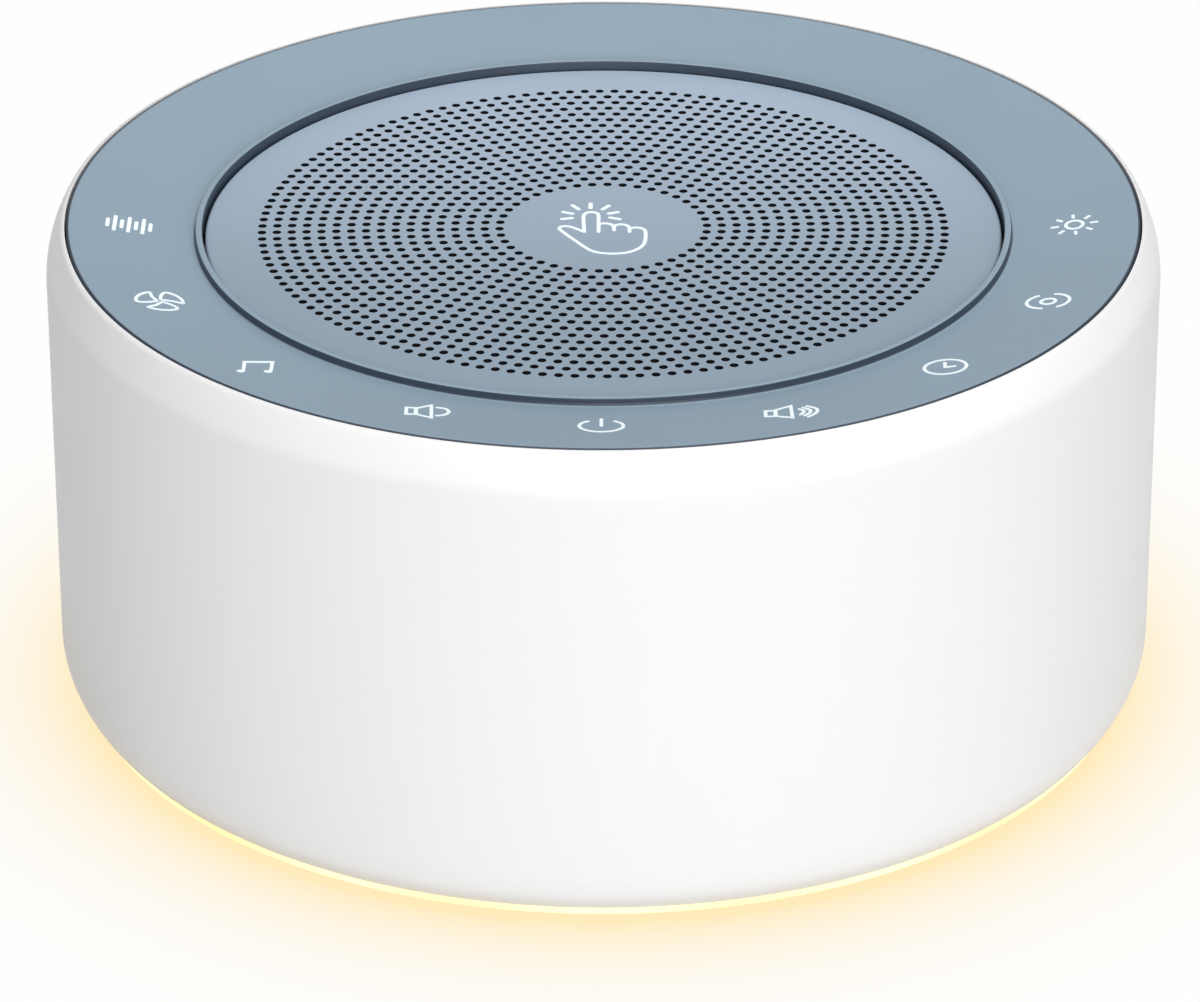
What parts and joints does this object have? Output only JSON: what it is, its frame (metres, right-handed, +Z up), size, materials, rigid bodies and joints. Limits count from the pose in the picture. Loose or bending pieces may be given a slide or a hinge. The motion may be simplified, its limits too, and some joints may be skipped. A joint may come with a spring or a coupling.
{
  "type": "white noise sound machine",
  "caption": "Small round white noise sound machine with a dished touch ring, a perforated loudspeaker grille, a warm base light and a USB-C inlet.",
  "frame": {"origin": "on the table under the middle of the drum, at the underside of the rubber feet", "axes": "+Z up, the power symbol at the front towards -Y, the USB-C inlet at the back towards +Y"},
  "size_m": [0.104, 0.104, 0.0473],
  "materials": {
    "housing": "white moulded plastic with a fine satin grain",
    "panel": "blue-grey satin plastic with white printed symbols",
    "grille": "blue-grey satin paint on a perforated metal disc",
    "screen": "black woven acoustic cloth",
    "foam": "closed-cell black foam",
    "board": "green solder mask",
    "contact": "plated spring strip",
    "ribbon": "white flat cable",
    "screw_steel": "zinc-plated steel",
    "basket": "black painted pressed steel",
    "cone": "black paper pulp",
    "cap": "black pressed cap",
    "former": "brown coil tube",
    "copper": "enamelled copper wire",
    "surround": "matt black rubber",
    "spider": "yellow treated cloth",
    "motor_steel": "zinc-plated motor plates",
    "ferrite": "dark sintered ferrite",
    "terminal": "brown terminal board",
    "lead": "insulated hook-up wire",
    "chip": "black moulded packages",
    "can": "aluminium capacitor cans",
    "socket": "natural nylon sockets",
    "inlet": "nickel-plated shell with a black tongue",
    "lamp_board": "white solder mask",
    "emitter": "warm white light emitters",
    "diffuser": "frosted diffuser lit warm yellow",
    "base": "white textured plastic",
    "feet": "grey non-slip rubber"
  },
  "bodies": {
    "chassis": {"outer_housing": "housing", "touch_panel": "panel", "speaker_grille": "grille", "dust_screen": "screen", "panel_tape": "foam", "rim_tape": "foam", "touch_board": "board", "grille_contact": "contact", "touch_ribbon": "ribbon", "panel_screws": "screw_steel", "speaker_gasket": "foam", "speaker_basket": "basket", "speaker_screws": "screw_steel", "cone_surround": "surround", "cone_spider": "spider", "top_plate": "motor_steel", "speaker_magnet": "ferrite", "back_plate": "motor_steel", "terminal_strip": "terminal", "speaker_leads": "lead", "main_board": "board", "board_screws": "screw_steel", "board_chips": "chip", "capacitors": "can", "power_coil": "chip", "ribbon_socket": "socket", "speaker_plug": "socket", "lamp_plug": "socket", "usb_inlet": "inlet", "lamp_board": "lamp_board", "light_emitters": "emitter", "lamp_leads": "lead", "light_ring": "diffuser", "base_cover": "base", "base_screws": "screw_steel", "rubber_feet": "feet"},
    "diaphragm": {"speaker_cone": "cone", "dust_cap": "cap", "coil_former": "former", "coil_winding": "copper"}
  },
  "joints": [
    {"name": "cone_stroke", "type": "slide", "parent": "chassis", "child": "diaphragm", "axis": [0, 0, 1], "range_m": [-0.0015, 0.0015], "stiffness_N_per_m": 1500, "deforming": ["cone_surround", "cone_spider"]}
  ]
}
